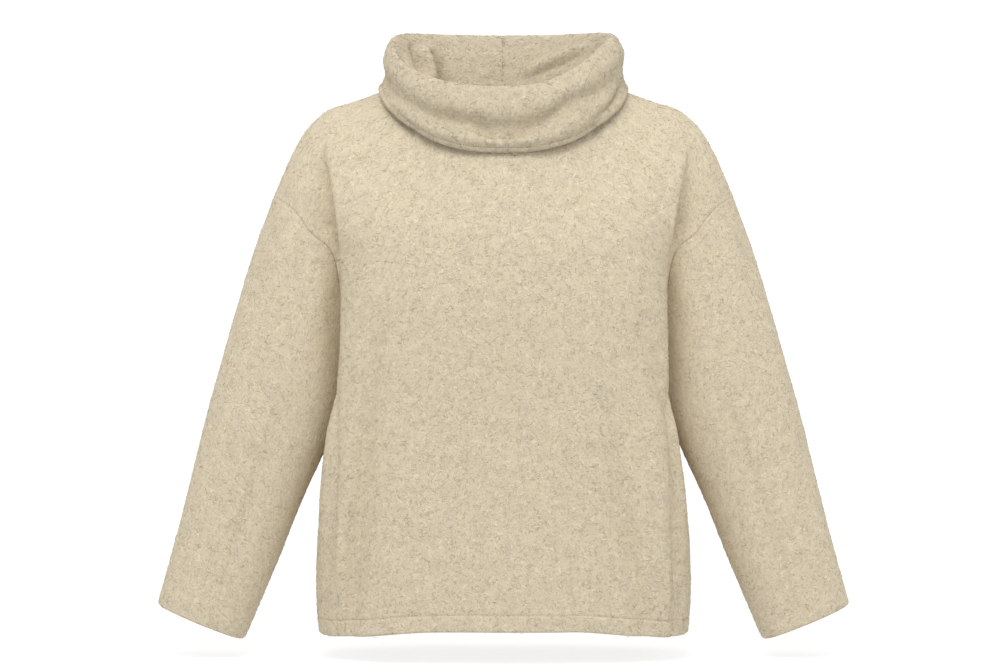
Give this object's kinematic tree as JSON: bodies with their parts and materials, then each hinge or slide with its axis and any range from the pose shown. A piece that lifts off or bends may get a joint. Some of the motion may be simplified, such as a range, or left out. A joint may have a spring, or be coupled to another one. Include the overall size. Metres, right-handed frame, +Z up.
{
  "type": "sweater",
  "caption": "Hollow loose pull-on sweater with a soft folded cowl collar, dropped shoulders, straight open sleeves and a topstitched hem, in beige brushed knit cloth",
  "frame": {"origin": "midway between the high points of the shoulders at the base of the neck, where the wearer's shoulders carry the garment", "axes": "+X to the wearer's left, +Y to the back, +Z up"},
  "size_m": [0.7898, 0.2267, 0.7006],
  "materials": {
    "cloth": "matt brushed wool-blend knit, flecked beige"
  },
  "bodies": {
    "root": {"front": "cloth", "back": "cloth", "sleeve_left": "cloth", "sleeve_right": "cloth", "collar": "cloth"}
  },
  "joints": []
}
